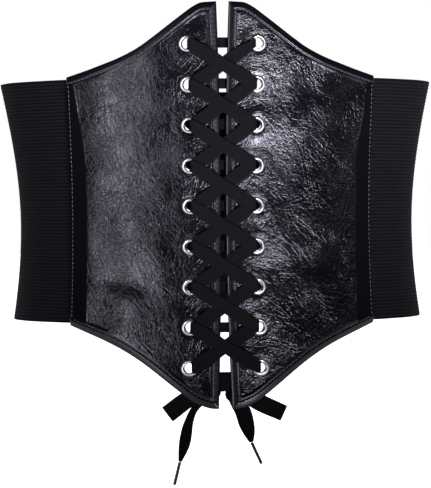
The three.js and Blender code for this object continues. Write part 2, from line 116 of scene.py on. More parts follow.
# Routes of the lace's ends from the knot's centre: x, z, behind, width
left_route = [
    (-17.6, 7.8, 0, 5.4),
    (-13.6, 6.2, 0.3, 5.6),
    (-10.2, 5.2, 0.2, 5.2),
    (-7.9, 4.3, 0, 4.6),
    (-5.6, -6.6, 1, 4.6),
    (-9.9, -8.9, 1.1, 4.4),
    (-14.2, -11.4, 1.1, 4.2),
    (-17.6, -14.4, 1, 4.2),
    (-20, -18, 1, 4.4),
    (-21.8, -22.6, 1, 5.2),
    (-22.6, -25.3, 1, 5.8),
    (-23.2, -28, 1, 6.4),
    (-24.3, -34.1, 1, 6.8),
    (-25.6, -39.6, 1, 5.4),
    (-27.4, -46.2, 1, 2),
]
right_route = [
    (16.6, 7.9, 1.3, 5.4),
    (12.4, 6.4, 1, 5.6),
    (9.9, 5.2, 0.6, 5.2),
    (7.9, 4.3, 0.2, 4.6),
    (2.4, -7.2, 1, 6.6),
    (4.2, -9, 1.1, 7.6),
    (6, -11.4, 1.1, 8.6),
    (7.7, -14, 1.1, 9.2),
    (9.3, -17.1, 1.1, 9.4),
    (10.4, -20.3, 1.1, 9.4),
    (11.3, -23.8, 1.1, 9.2),
    (12.3, -27.2, 1.1, 8.2),
    (13.2, -30.6, 1.1, 6.4),
    (13.9, -33.6, 1, 4),
    (14.3, -35.4, 1, 2.3),
]
left_loop = [(-8.2, -2.4, 6.4), (-13.5, -4.6, 8.8), (-22.9, -10, 10), (-33.8, -18, 10.4)]
right_loop = [(8.2, -3, 6.6), (13, -8, 9), (18.8, -12, 10), (32.4, -18.3, 9.6)]
aglet_slope = {-1: 104, 1: 65.5}

routes = {-1: left_route, 1: right_route}
loops = {-1: left_loop, 1: right_loop}
side_names = {-1: "left", 1: "right"}

# Sizes of the finer detail
skin = Sizes(column_step=0.56, middle_rows=340, edge_round=1.1, back_columns=96, back_rows=210,
             hole_radius=3.9, back_hole_radius=3.6, dent_share=0.6)
groove = Sizes(depth=0.6, width=0.4, slit_inset=3.9)
shoulder = Sizes(height=0.3, past_groove=1.4, width=0.9)
pucker = Sizes(height=0.18, radius=7.6, width=2.4, flat_radius=5.2)
strip = Sizes(width=13.3, top_width=6.6, slant_from=15, slant_over=60, drop=0.08, soft=2.4, relief_share=0.12)
seam = Sizes(inset=1.6, depth=0.3, width=0.45)
stitch = Sizes(pitch=2.6, length=1.9, radius=0.2, sides=7)
crinkle = Sizes(wavelength=4.2, depth=0.02, patch=16, broad=42, broad_depth=0.28, fold=12, fold_depth=0.06)
relief_grid = Sizes(step=0.4, rows=640, columns=264, below=6, beside=4)
crease = Sizes(patch=16, net_across=2.1, net_along=5, net_share=0.1, net_depth=0.6, warp=1.2,
               stroke_across=3.4, stroke_along=16, stroke_share=0.035, long_width=0.55, long_depth=0.2,
               long_bow=0.8, long_fade=5, turns=(0.3, 0.9, 1.5, 2.1, 2.7))
rib = Sizes(pitch=2, depth=0.26, rows=4, columns=126, thread_pitch=0.62, edge=1.4, wander=0.12)
lace_rib = Sizes(count=8, depth=0.12)
strap = Sizes(width=8.4, pinch=0.14, pinch_share=0.15, first_share=0.72, end_share=0.84, run_share=0.2)

# The photograph's viewpoint
view = Sizes(distance=1.393, azimuth=-2.5, tilt=1.112, roll=-0.5, lens=165.3, sensor=36, shift=-0.0025)


def unit(vectors):
    return vectors / np.maximum(np.linalg.norm(vectors, axis=-1, keepdims=True), 1e-12)


def smooth(share):
    share = np.clip(share, 0, 1)
    return share * share * (3 - 2 * share)


def hump(share):
    """A smooth rise of height 1 that falls away to both sides."""
    return np.exp(-(share**2))


def rounded(share):
    """The height of a quarter round at a share of its width."""
    return np.sqrt(np.clip(1 - (1 - np.clip(share, 0, 1)) ** 2, 0, 1))


def there_and_back(there, back):
    """Numbers across a tape's face and back across its other face, each edge once."""
    return np.concatenate([there, back[-2:0:-1]])


def read_table(keys, values, at):
    """A value between two rows of a table, eased so that the slope is smooth."""
    last = len(keys) - 1
    after = np.clip(np.searchsorted(keys, at, side="right"), 1, last)
    before = after - 1
    earlier = np.maximum(before - 1, 0)
    later = np.minimum(after + 1, last)
    span = keys[after] - keys[before]
    share = np.clip((at - keys[before]) / span, 0, 1)
    slope_in = (values[after] - values[earlier]) / (keys[after] - keys[earlier])
    slope_out = (values[later] - values[before]) / (keys[later] - keys[before])
    blend = 3 * share**2 - 2 * share**3
    bend_in = (share**3 - 2 * share**2 + share) * span * slope_in
    bend_out = (share**3 - share**2) * span * slope_out
    return (1 - blend) * values[before] + blend * values[after] + bend_in + bend_out


# The wall's form


def flare_share(rise):
    reach = np.sqrt(1 + (rise / flare.softness) ** 2) - 1
    return reach / (math.sqrt(1 + (flare.height / flare.softness) ** 2) - 1)


def oval_at(z):
    """The four arcs of the loop at a height."""
    rise = z - waist.height
    share = flare_share(rise)
    side_x = waist.side_reach + share * np.where(rise > 0, flare.side_above, flare.side_below)
    reach = waist.front_reach + share * np.where(rise > 0, flare.front_above, flare.front_below)
    centre_y = (side_x**2 - reach**2) / (2 * reach)
    front_radius = centre_y + reach + waist.side_radius
    turn = np.arctan2(side_x, centre_y)
    front_arc = front_radius * turn
    quarter = front_arc + waist.side_radius * (math.pi / 2 - turn)
    return Sizes(side_x=side_x, centre_y=centre_y, front_radius=front_radius, turn=turn,
                 front_arc=front_arc, quarter=quarter)


def oval_point(along, z):
    """A point of the loop, along it from the middle of the front, positive to the right."""
    along, z = np.broadcast_arrays(np.asarray(along, float), np.asarray(z, float))
    oval = oval_at(z)
    reach = np.abs(along)
    on_back = reach > oval.quarter
    distance = np.where(on_back, 2 * oval.quarter - reach, reach)
    on_front = distance <= oval.front_arc
    side_turn = oval.turn + (distance - oval.front_arc) / waist.side_radius
    turn = np.where(on_front, distance / oval.front_radius, side_turn)
    radius = np.where(on_front, oval.front_radius, waist.side_radius)
    x = radius * np.sin(turn) + np.where(on_front, 0, oval.side_x)
    y = np.where(on_front, oval.centre_y, 0) - radius * np.cos(turn)
    return np.stack([np.where(along < 0, -x, x), np.where(on_back, -y, y), z], axis=-1)


def wall_frame(along, z):
    """Directions on the wall: right along the loop, up, and out of it."""
    step = 0.5
    right = unit(oval_point(along + step, z) - oval_point(along - step, z))
    rise = oval_point(along, z + step) - oval_point(along, z - step)
    out = unit(np.cross(right, rise))
    return right, np.cross(out, right), out


def wall_point(along, z, outward):
    out = wall_frame(along, z)[2]
    return oval_point(along, z) + out * np.asarray(outward, float)[..., None]


# Places on the panels

top_corner = panel.side_height / 2
tip_height = top_corner + panel.tip_rise
bottom_tip = -top_corner - panel.tip_drop
pitch = (tip_height - bottom_tip - 2 * eyelet.tip_margin) / (eyelet.rows - 1)


def slit_half(z):
    return (slit.middle_width + (slit.tip_width - slit.middle_width) * (z / tip_height) ** 2) / 2


def row_height(row):
    return tip_height - eyelet.tip_margin - row * pitch


def eyelet_along(z):
    return slit_half(z) + eyelet.inset


def top_edge(from_slit):
    share = read_table(panel_edge[:, 0], panel_edge[:, 1], from_slit / panel.width)
    return top_corner + panel.tip_rise * share


def bottom_edge(from_slit):
    share = read_table(panel_edge[:, 0], panel_edge[:, 2], from_slit / panel.width)
    return -top_corner - panel.tip_drop * share


def edge_stretch(edge, from_slit):
    """How much longer an edge is than its run along the panel."""
    step = 0.02 * panel.width
    low = np.maximum(from_slit - step, 0)
    high = np.minimum(from_slit + step, panel.width)
    return np.hypot(1, (edge(high) - edge(low)) / (high - low))


# Making meshes


def add_piece(name, points, faces, material, replaced=(), marks=None):
    """A mesh from points in millimetres, riding on the belt. marks are named numbers at the points."""
    mesh = bpy.data.meshes.new(name)
    mesh.from_pydata((np.asarray(points) * MM).tolist(), [], [list(map(int, face)) for face in faces])
    mesh.polygons.foreach_set("use_smooth", [True] * len(mesh.polygons))
    for mark, values in (marks or {}).items():
        values = np.asarray(values, np.float32)
        kind, field = ("FLOAT", "value") if values.ndim == 1 else ("FLOAT_VECTOR", "vector")
        layer = mesh.attributes.new(mark, kind, "POINT")
        layer.data.foreach_set(field, values.ravel())
    mesh.materials.append(material)
    mesh.update()
    piece = bpy.data.objects.new(name, mesh)
    bpy.context.collection.objects.link(piece)
    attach(piece, "root")
    if replaced:
        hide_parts(*replaced)
    return piece


def grid_faces(rows, columns, flip=False, closed_rows=False, closed_columns=False):
    """Faces of a grid of points, row by row."""
    index = np.arange(rows * columns).reshape(rows, columns)
    if closed_rows:
        index = np.vstack([index, index[:1]])
    if closed_columns:
        index = np.hstack([index, index[:, :1]])
    corners = [index[1:, :-1], index[1:, 1:], index[:-1, 1:], index[:-1, :-1]]
    faces = np.stack(corners, axis=-1).reshape(-1, 4)
    return faces[:, ::-1] if flip else faces


def joined(parts):
    """Several (points, faces) as one."""
    points = []
    faces = []
    count = 0
    for part_points, part_faces in parts:
        points.append(part_points)
        faces.extend((np.asarray(part_faces) + count).tolist())
        count += len(part_points)
    return np.concatenate(points), faces


def resample(values, counts):
    """Rows of numbers at even steps along a smooth curve through them; the first three are a place."""
    values = np.asarray(values, float)
    gaps = np.linalg.norm(np.diff(values[:, :3], axis=0), axis=1)
    run = np.concatenate([[0], np.cumsum(gaps)])
    at = np.linspace(0, run[-1], counts)
    columns = [read_table(run, values[:, column], at) for column in range(values.shape[1])]
    return np.stack(columns, axis=1)


# Camera


def make_camera():
    turn = math.radians(view.azimuth)
    tilt = math.radians(view.tilt)
    place = Vector((math.sin(turn), -math.cos(turn), 0)) * view.distance
    forward = -place.normalized() * math.cos(tilt) + Vector((0, 0, -math.sin(tilt)))
    data = bpy.data.cameras.new("camera")
    data.sensor_fit = "VERTICAL"
    data.sensor_height = view.sensor
    data.lens = view.lens
    data.clip_end = 50
    data.shift_x = view.shift
    camera = bpy.data.objects.new("camera", data)
    bpy.context.collection.objects.link(camera)
    turned = forward.to_track_quat("-Z", "Y").to_matrix() @ Matrix.Rotation(math.radians(view.roll), 3, "Z")
    camera.matrix_world = Matrix.Translation(place) @ turned.to_4x4()
    bpy.context.scene.camera = camera


# Materials


def new_material(name):
    """A material with its surface shader and the coordinates of the piece."""
    material = bpy.data.materials.new(name)
    material.use_nodes = True
    tree = material.node_tree
    return material, tree.nodes["Principled BSDF"], add_node(tree, "ShaderNodeTexCoord").outputs["Object"]


def feed(socket, value):
    """Links an output to a socket, or sets the socket to a value."""
    if isinstance(value, bpy.types.NodeSocket):
        socket.id_data.links.new(value, socket)
    else:
        socket.default_value = value


def feed_all(sockets, values):
    for socket, value in zip(sockets, values):
        feed(socket, value)


def add_node(tree, kind, **settings):
    """A node whose sockets or properties are set by name."""
    node = tree.nodes.new(kind)
    for key, value in settings.items():
        if key in node.inputs:
            feed(node.inputs[key], value)
        else:
            setattr(node, key, value)
    return node


def dress(surface, **sockets):
    """Feeds the surface's sockets, named with a low line for a space."""
    for name, value in sockets.items():
        feed(surface.inputs[name.replace("_", " ")], value)


def mark(material, name, output="Fac"):
    """A number or a place that the mesh carries at its points."""
    return add_node(material.node_tree, "ShaderNodeAttribute", attribute_name=name).outputs[output]


def noise(vector, scale, detail=3.0, roughness=0.5, output="Fac"):
    return add_node(vector.id_data, "ShaderNodeTexNoise", Vector=vector, Scale=scale, Detail=detail,
                    Roughness=roughness).outputs[output]


def ranged(value, low, high, from_low=0.0, from_high=1.0):
    limits = {"From Min": from_low, "From Max": from_high, "To Min": low, "To Max": high}
    return add_node(value.id_data, "ShaderNodeMapRange", Value=value, **limits).outputs["Result"]


def bump(height, strength, distance, below=None):
    node = add_node(height.id_data, "ShaderNodeBump", Height=height, Strength=strength, Distance=distance)
    if below:
        feed(node.inputs["Normal"], below)
    return node.outputs["Normal"]


def blend_colours(share, first, second):
    node = add_node(share.id_data, "ShaderNodeMix", data_type="RGBA")
    feed_all([node.inputs[k] for k in (0, 6, 7)], (share, (*first, 1), (*second, 1)))
    return node.outputs[2]


def math_node(operation, first, second=0.0):
    node = add_node(first.id_data, "ShaderNodeMath", operation=operation)
    feed_all(node.inputs, (first, second))
    return node.outputs[0]


def times(first, second):
    return math_node("MULTIPLY", first, second)


def plus(first, second):
    return math_node("ADD", first, second)


def stretched_place(flat, turn, along, across, seed):
    """Coordinates for a pattern that is longer one way, set apart from the others by its seed."""
    return add_node(flat.id_data, "ShaderNodeMapping", vector_type="TEXTURE", Vector=flat, Rotation=(0, 0, turn),
                    Location=(seed * 310, seed * 170, 0), Scale=(along, across, 1)).outputs["Vector"]


def patches(flat, seed, low, high):
    """A soft-edged mask of the patches where one pattern has its place."""
    place = stretched_place(flat, 0, crease.patch, crease.patch, seed + 20)
    return ranged(noise(place, 1.0, 1), 0, 1, low, high)


def crease_strokes(flat, turn, seed):
    """Long thin valleys that run one way."""
    place = stretched_place(flat, turn, crease.stroke_along, crease.stroke_across, seed)
    away = math_node("ABSOLUTE", math_node("SUBTRACT", noise(place, 1.0, 1), 0.5))
    valley = ranged(away, 1, 0, 0, crease.stroke_share)
    return times(valley, patches(flat, seed, 0.48, 0.56))


def crease_net(flat, turn, seed):
    """A net of thin valleys round narrow cells that lie one way."""
    shifted = add_node(flat.id_data, "ShaderNodeVectorMath", operation="MULTIPLY_ADD")
    feed_all(shifted.inputs, (noise(flat, 0.5, 1.0, 0.5, "Color"), (crease.warp, crease.warp, 0), flat))
    place = stretched_place(shifted.outputs[0], turn, crease.net_along, crease.net_across, seed)
    cells = add_node(flat.id_data, "ShaderNodeTexVoronoi", feature="DISTANCE_TO_EDGE",
                     voronoi_dimensions="2D", Vector=place, Scale=1.0)
    valley = ranged(cells.outputs["Distance"], 1, 0, 0, crease.net_share)
    return times(valley, patches(flat, seed, 0.44, 0.52))


def leather_material():
    """Glossy black imitation leather; the creased mark is 1 on the open panel and 0 on the border."""
    material, surface, place = new_material("glossy_leather")
    creased = mark(material, "creased")
    flat = mark(material, "flat", "Vector")
    depth = None
    for seed, turn in enumerate(crease.turns):
        net = times(crease_net(flat, turn, seed + 1), crease.net_depth)
        both = plus(net, crease_strokes(flat, turn + 0.3, seed + 8))
        depth = plus(depth, both) if depth else both
    depth = times(times(depth, creased), -1.0)
    tone = blend_colours(noise(place, 60, 4), (0.001, 0.001, 0.0015), (0.004, 0.004, 0.006))
    wear_and_groove_shade = ranged(noise(place, 140, 5, 0.6), 0.16, 0.26)
    rough = plus(wear_and_groove_shade, ranged(creased, 0.06, 0))
    grain = add_node(place.id_data, "ShaderNodeTexVoronoi", feature="DISTANCE_TO_EDGE", Vector=place,
                     Scale=1500.0)
    pores = ranged(grain.outputs["Distance"], 0, 1, 0, 0.25)
    crumple = bump(depth, 1.0, 0.000056, bump(pores, 0.02, 0.00006))
    dress(surface, Base_Color=tone, Roughness=rough, Normal=crumple, IOR=1.52)
    return material


def matt_leather_material():
    """The plain back of the leather and the strip over the elastic's end."""
    material, surface, place = new_material("matt_leather")
    tone = blend_colours(noise(place, 120, 4), (0.001, 0.001, 0.0015), (0.0025, 0.0025, 0.003))
    rough = ranged(noise(place, 400, 3), 0.8, 0.95)
    grain = bump(noise(place, 1300, 3, 0.6), 0.3, 0.00008)
    dress(surface, Base_Color=tone, Roughness=rough, Normal=grain, Specular_IOR_Level=0.06)
    return material


def thread_material():
    material, surface, place = new_material("black_thread")
    # The thread is black; its grey base colour is a painted highlight that stands in for the glints on the
    # glossy thread.
    tone = blend_colours(noise(place, 900, 2), (0.06, 0.06, 0.065), (0.12, 0.12, 0.13))
    twist = bump(noise(place, 4200, 2), 0.5, 0.0001)
    dress(surface, Base_Color=tone, Roughness=0.38, Normal=twist)
    return material


def elastic_material():
    """Matt black webbing: threads run up and down between the ribs, and the grooves between the ribs carry
    painted shade, coloured darker than the ridges.
    """
    material, surface, place = new_material("ribbed_elastic")
    turns = times(mark(material, "run"), 2 * math.pi / rib.thread_pitch)
    threads = bump(math_node("SINE", turns), 0.4, 0.00012)
    fuzz = bump(noise(place, 2600, 3, 0.6), 0.4, 0.00012, threads)
    # Painted shade: the grooves between the ribs are coloured darker than the ridges, with a random variation of
    # tone along them.
    wear_and_groove_shade = times(mark(material, "ridge"), ranged(noise(place, 220, 4), 0.6, 1.2))
    tone = blend_colours(wear_and_groove_shade, (0.0025, 0.0025, 0.003), (0.011, 0.011, 0.0135))
    rough = ranged(noise(place, 700, 3), 0.72, 0.92)
    dress(surface, Base_Color=tone, Roughness=rough, Normal=fuzz, Specular_IOR_Level=0.06)
    return material


def lace_material():
    """Matt black woven tape, with painted shade: darker in the grooves between its ribs than on the ridges."""
    material, surface, place = new_material("woven_tape")
    weave = add_node(place.id_data, "ShaderNodeTexVoronoi", Vector=place, Scale=1900.0)
    cells = bump(weave.outputs["Distance"], 0.35, 0.00012)
    fuzz = bump(noise(place, 3000, 3, 0.6), 0.3, 0.0001, cells)
    # Painted shade: the grooves between the tape's ribs are coloured darker than the ridges, with a random
    # variation of tone along them.
    wear_and_groove_shade = times(mark(material, "ridge"), ranged(noise(place, 500, 4), 0.4, 1.3))
    tone = blend_colours(wear_and_groove_shade, (0.0006, 0.0006, 0.0006), (0.009, 0.009, 0.0095))
    dress(surface, Base_Color=tone, Roughness=0.8, Normal=fuzz, Specular_IOR_Level=0.07)
    return material


def nickel_material():
    material, surface, place = new_material("polished_nickel")
    tone = blend_colours(noise(place, 300, 3), (0.84, 0.84, 0.82), (0.95, 0.95, 0.94))
    rough = ranged(noise(place, 900, 4, 0.6), 0.26, 0.38)
    scuffs = bump(noise(place, 1400, 3), 0.12, 0.00005)
    dress(surface, Base_Color=tone, Roughness=rough, Normal=scuffs, Metallic=1)
    return material


def aglet_material():
    material, surface, place = new_material("gloss_film")
    tone = blend_colours(noise(place, 800, 3), (0.01, 0.01, 0.011), (0.028, 0.028, 0.03))
    rough = ranged(noise(place, 500, 2), 0.14, 0.3)
    wrinkles = bump(noise(place, 700, 2), 0.25, 0.0001)
    dress(surface, Base_Color=tone, Roughness=rough, Normal=wrinkles)
    return material


# The lace


def swept(centres, across, widths, closed=False, crown=0.0):
    """A woven tape swept along its centre line, ribbed on both faces: its points, faces and ridges, which set
    the painted shade in the grooves.
    """
    centres = np.asarray(centres, float)
    if closed:
        onward = unit(np.roll(centres, -1, axis=0) - np.roll(centres, 1, axis=0))
    else:
        onward = unit(np.gradient(centres, axis=0))
    across = unit(across - onward * np.sum(across * onward, axis=1, keepdims=True))
    through = unit(np.cross(onward, across))
    steps = 3 * lace_rib.count
    share = np.linspace(-1, 1, steps + 1)
    swell = np.abs(np.cos(0.5 * math.pi * lace_rib.count * (share + 1 + 1 / lace_rib.count)))
    half = tape.thickness / 2
    edge = np.sqrt(np.clip(1 - np.abs(share) ** 7, 0, 1))
    height = edge * (half - lace_rib.depth * (1 - swell))
    bowed = crown * (1 - share**2)
    ring_share = there_and_back(share, share)
    ring_rise = there_and_back(bowed + height, bowed - height)
    widths = np.asarray(widths, float)[:, None, None]
    points = centres[:, None, :] + across[:, None, :] * (ring_share[None, :, None] * widths / 2)
    points = points + through[:, None, :] * ring_rise[None, :, None]
    ring = len(ring_share)
    faces = grid_faces(len(centres), ring, closed_rows=closed, closed_columns=True).tolist()
    if not closed:
        faces.append(list(range(ring)))
        faces.append(list(range((len(centres) - 1) * ring, len(centres) * ring))[::-1])
    return points.reshape(-1, 3), faces, np.tile(there_and_back(swell, swell), len(centres))


def add_tape(name, centres, across, widths, material, nodes):
    points, faces, ridge = swept(centres, across, widths)
    return add_piece(name, points, faces, material, nodes, {"ridge": ridge})


layer_step = tape.thickness + clearance
bore_flat = eyelet.bore_radius * math.cos(math.pi / eyelet.sides)
gathered_flat = tape.gathered_height / 2 * tape.gathered_share
hole_reach = math.sqrt(bore_flat**2 - gathered_flat**2) - clearance - tape.thickness / 2
front_rise = clearance + eyelet.crown + clearance + tape.thickness / 2
back_rise = panel.wall + clearance + eyelet.back_wall + clearance + tape.thickness / 2
bend = tape.thickness


def hole_line(layer, z):
    return eyelet_along(z) - hole_reach + layer * layer_step


def hole_pass(side, layer, z, strap_height):
    """The tape's way up through a hole, as rows of along, height, outward and width."""
    line = hole_line(layer, z)
    front = front_rise + layer * layer_step
    back = -back_rise - layer * layer_step
    rows = []
    for share in np.linspace(0, 1, 7):
        turn = share * math.pi / 2
        width = tape.bar_height + (tape.gathered_height - tape.bar_height) * smooth(share)
        along = line - bend + bend * math.sin(turn)
        rows.append((side * along, z, back + bend - bend * math.cos(turn), width))
    for share in np.linspace(0, 1, 8)[1:-1]:
        outward = back + bend + share * (front - back - 2 * bend)
        rows.append((side * line, z, outward, tape.gathered_height * (1 + tape.mouth_swell * share)))
    mouth = tape.gathered_height * (1 + tape.mouth_swell)
    for share in np.linspace(0, 1, 9):
        turn = share * math.pi / 2
        width = mouth + (strap_height - mouth) * smooth(share * 1.25)
        along = line - bend + bend * math.cos(turn)
        rows.append((side * along, z, front - bend + bend * math.sin(turn), width))
    return rows


def strap_width(row, direction, share):
    """Width of the strap below a row; the first one is gathered, and all are at their ends."""
    first = strap.first_share if row == 0 and direction < 0 else 1
    full = float(smooth(min(share, 1 - share) / strap.run_share))
    gathered = strap.end_share + (1 - strap.end_share) * full
    gathered = gathered - strap.pinch * math.exp(-(((share - 0.5) / strap.pinch_share) ** 2))
    return strap.width * gathered * (first + (1 - first) * float(smooth(share * 2.5)))


def strand(direction, layer):
    """One strand from the top row down, crossing in front and returning behind."""
    rows = []
    for row in range(eyelet.rows):
        z = row_height(row)
        if row > 0:
            rows.extend(hole_pass(direction, layer, z, strap_width(row - 1, direction, 1))[::-1])
        if row == eyelet.rows - 1:
            break
        if row > 0:
            start = direction * (hole_line(layer, z) - bend)
            back = -back_rise - layer * layer_step
            for share in np.linspace(0, 1, 14)[1:-1]:
                rows.append((start * (1 - 2 * share), z, back, tape.bar_height))
        rows.extend(hole_pass(-direction, layer, z, strap_width(row, direction, 0)))
        next_z = row_height(row + 1)
        start = -direction * (hole_line(layer, z) - bend)
        end = direction * (hole_line(layer, next_z) - bend)
        front = front_rise + layer * layer_step
        for share in np.linspace(0, 1, 30)[1:-1]:
            along = start + (end - start) * share
            dip = tape.strap_dip * math.sin(math.pi * share)
            rows.append((along, z + (next_z - z) * share, front - dip, strap_width(row, direction, share)))
    return rows


def make_lace(material):
    top = row_height(0)
    over = strand(1, 1)[::-1]
    under = strand(-1, 0)
    outward = np.linspace(over[-1][2], under[0][2], 16)[1:-1]
    along = np.linspace(over[-1][0], under[0][0], 16)[1:-1]
    bar = [(a, top, o, tape.bar_height) for a, o in zip(along, outward)]
    rows = np.array(over + bar + under)
    centres = wall_point(rows[:, 0], rows[:, 1], rows[:, 2])
    across = wall_frame(rows[:, 0], rows[:, 1])[1]
    add_tape("lace_tape", centres, across, rows[:, 3], material, ["lace"])


# The bow

knot_height = row_height(eyelet.rows - 1) - knot.drop_below_last_row
knot_out = -panel.wall - 2 * clearance - knot.depth / 2
knot_centre = wall_point(0, knot_height, knot_out) + np.array([knot.shift, 0, 0])


def facing(route, steps):
    """Centres, directions across and widths of a tape that faces the viewer, from x, z, behind and width."""
    rows = np.array([(x, behind, z, width) for x, z, behind, width in route], float)
    rows = resample(rows, steps)
    centres = rows[:, :3] + knot_centre
    onward = np.gradient(rows[:, :3], axis=0)
    across = np.stack([-onward[:, 2], np.zeros(len(rows)), onward[:, 0]], axis=1)
    return centres, across, rows[:, 3]


def make_end(side, material):
    """The lace's end from behind its last eyelet, through the knot, to its tip."""
    centres, across, widths = facing(routes[side], 120)
    name = side_names[side]
    nodes = [f"lace_run_{name}", f"lace_end_{name}"]
    return add_tape(f"lace_tail_{name}", centres, across, widths, material, nodes), centres[::4]


def make_loop(side, material):
    """A bow loop: the tape out to its fold and back behind itself."""
    half = (tape.thickness + loop.gap) / 2
    front = [(x, z, -half - loop.ahead, width) for x, z, width in loops[side]]
    centres, across, widths = facing(front, 40)
    onward = unit(centres[-1] - centres[-2])
    turns = np.linspace(0, math.pi, 9)[1:-1]
    fold = [centres[-1] + onward * half * math.sin(turn) + np.array([0, half - half * math.cos(turn), 0])
            for turn in turns]
    back = centres[::-1] + np.array([0, 2 * half, 0])
    all_centres = np.concatenate([centres, fold, back])
    all_across = np.concatenate([across, np.repeat(across[-1:], len(fold), axis=0), across[::-1]])
    all_widths = np.concatenate([widths, np.repeat(widths[-1:], len(fold)), widths[::-1]])
    name = side_names[side]
    return add_tape(f"bow_{name}", all_centres, all_across, all_widths, material, [f"bow_loop_{name}"])


def make_knot(material):
    """A wrapped knot: a band round a soft core."""
    turns = np.linspace(0, 2 * math.pi, 61)[:-1]
    deep = knot.depth / 2 - tape.thickness / 2
    tall = knot.height / 2 - tape.thickness / 2
    centres = np.stack([0 * turns, -deep * np.cos(turns), tall * np.sin(turns)], axis=1)
    across = np.tile([1.0, 0, 0], (len(turns), 1))
    widths = knot.band_width + 0.5 * np.sin(2 * turns)
    band, band_faces, ridge = swept(centres, across, widths, closed=True, crown=knot.crown)
    rows, columns = 22, 36
    up = np.linspace(-math.pi / 2, math.pi / 2, rows)[:, None]
    round_it = np.linspace(0, 2 * math.pi, columns + 1)[None, :-1]
    wave = 1 + 0.07 * np.sin(3 * round_it + 2 * up) + 0.05 * np.sin(5 * up)
    x = knot.width / 2 * np.cos(up) * np.cos(round_it) * wave
    y = (knot.depth / 2 - 0.7) * np.cos(up) * np.sin(round_it)
    z = (knot.height / 2 - 0.8) * np.sin(up) * wave
    core = np.stack([x, y, z], axis=-1).reshape(-1, 3)
    points, faces = joined([(band, band_faces), (core, grid_faces(rows, columns, closed_columns=True))])
    # The core takes the middle of the painted groove shade.
    marks = {"ridge": np.concatenate([ridge, np.full(len(core), 0.5)])}
    return add_piece("bow_knot", points + knot_centre, faces, material, ["lace_knot"], marks)


def make_aglet(side, material):
    """The film-wrapped tip of the lace, with a lapped seam."""
    tip = routes[side][-1]
    slope = math.radians(aglet_slope[side])
    onward = np.array([math.cos(slope), 0, -math.sin(slope)])
    sideways = np.array([onward[2], 0, -onward[0]])
    start = knot_centre + np.array([tip[0], tip[2], tip[1]])
    rows, columns = 40, 28
    share = np.linspace(0, 1, rows)[:, None, None]
    round_it = (np.arange(columns) / columns)[:, None]
    end = np.minimum(share, 1 - share) * aglet.length
    radius = aglet.radius * rounded(end / aglet.end_round) * (1 - 0.03 * np.sin(share * 40))
    lapped = radius - 0.05 + aglet.lap * round_it
    across = lapped * np.cos(2 * math.pi * round_it) * 0.92
    deep = lapped * np.sin(2 * math.pi * round_it)
    middle = start + onward * (clearance * 0.3 + share * aglet.length)
    points = (middle + sideways * across + np.array([0, 1, 0]) * deep).reshape(-1, 3)
    faces = grid_faces(rows, columns, closed_columns=True)
    name = side_names[side]
    return add_piece(f"lace_tip_{name}", points, faces, material, [f"aglet_{name}"])


def make_bow(tape_material, film):
    knot_piece = make_knot(tape_material)
    for side, with_knot in ((-1, [knot_piece]), (1, [])):
        tail, path = make_end(side, tape_material)
        tip = make_aglet(side, film)
        bow = make_loop(side, tape_material)


# The leather panels


def band_noise(shape, step, wavelength, seed, direction=None, spread=2.5, sharp=3.0):
    """Seeded noise of about one wavelength, in strokes along a direction where one is given."""
    white = np.random.default_rng(seed).standard_normal(shape)
    across = np.fft.rfftfreq(shape[1], step)[None, :]
    up = np.fft.fftfreq(shape[0], step)[:, None]
    frequency = np.hypot(across, up)
    gain = np.exp(-((frequency * wavelength - 1) * sharp / 2) ** 2)
    if direction is not None:
        turn = np.arctan2(up, across) - direction - math.pi / 2
        gain = gain * np.exp(spread * (np.cos(2 * turn) - 1))
    field = np.fft.irfft2(np.fft.rfft2(white) * gain, s=shape)
    return field / field.std()


def crinkle_field(side):
    """Heights of one panel's creases in millimetres, on an even grid."""
    step = relief_grid.step
    shape = (relief_grid.rows, relief_grid.columns)
    seed = 100 if side < 0 else 200
    directions = [0.35, 0.95, 1.6, 2.3, 2.85]
    seeds = range(seed, seed + len(directions))
    weights = [np.exp(1.6 * band_noise(shape, step, crinkle.patch, patch_seed)) for patch_seed in seeds]
    total = sum(weights)
    lines = 0
    for k, direction in enumerate(directions):
        stroke = band_noise(shape, step, crinkle.wavelength, seed + 20 + k, direction, 3.0)
        lines = lines + weights[k] / total * (0.5 - np.exp(-((stroke / 0.55) ** 2)))
    folds = band_noise(shape, step, crinkle.fold, seed + 50, 0.9 if side < 0 else 2.2, 1.2)
    broad = band_noise(shape, step, crinkle.broad, seed + 60)
    strength = 0.75 + 0.35 * band_noise(shape, step, crinkle.broad, seed + 61)
    height = crinkle.depth * 2 * lines * np.clip(strength, 0.25, 1.6)
    height = height - crinkle.fold_depth * np.exp(-((folds / 0.5) ** 2))
    return height + crinkle.broad_depth * broad


def sample(field, from_slit, z):
    """The field's value at places on the panel."""
    column = (from_slit + relief_grid.beside) / relief_grid.step
    row = (z - bottom_tip + relief_grid.below) / relief_grid.step
    column = np.clip(column, 0, field.shape[1] - 1.001)
    row = np.clip(row, 0, field.shape[0] - 1.001)
    left, low = column.astype(int), row.astype(int)
    right_share, up_share = column - left, row - low
    below = field[low, left] * (1 - right_share) + field[low, left + 1] * right_share
    above = field[low + 1, left] * (1 - right_share) + field[low + 1, left + 1] * right_share
    return below * (1 - up_share) + above * up_share


def dent_at(side, from_slit, z):
    """Depth of the broad soft creases, which the solids have much the same."""
    up = z / top_corner
    depth = 0
    for on, across, at, length, width, slope, amount in dents:
        if on != side:
            continue
        turn = math.radians(slope)
        run = from_slit - across * panel.width
        rise = (up - at) * top_corner
        lengthwise = (run * math.cos(turn) + rise * math.sin(turn)) / (length * panel.width)
        sideways = (rise * math.cos(turn) - run * math.sin(turn)) / (width * top_corner)
        depth = depth + amount * dent_depth * np.exp(-2 * (lengthwise**2 + sideways**2))
    eyelets_end = eyelet.inset + eyelet.flange_radius
    past_eyelets = smooth((from_slit - eyelets_end) / eyelets_end)
    before_elastic = smooth((panel.width - from_slit - elastic.overlap) / elastic.overlap)
    return depth * past_eyelets * before_elastic


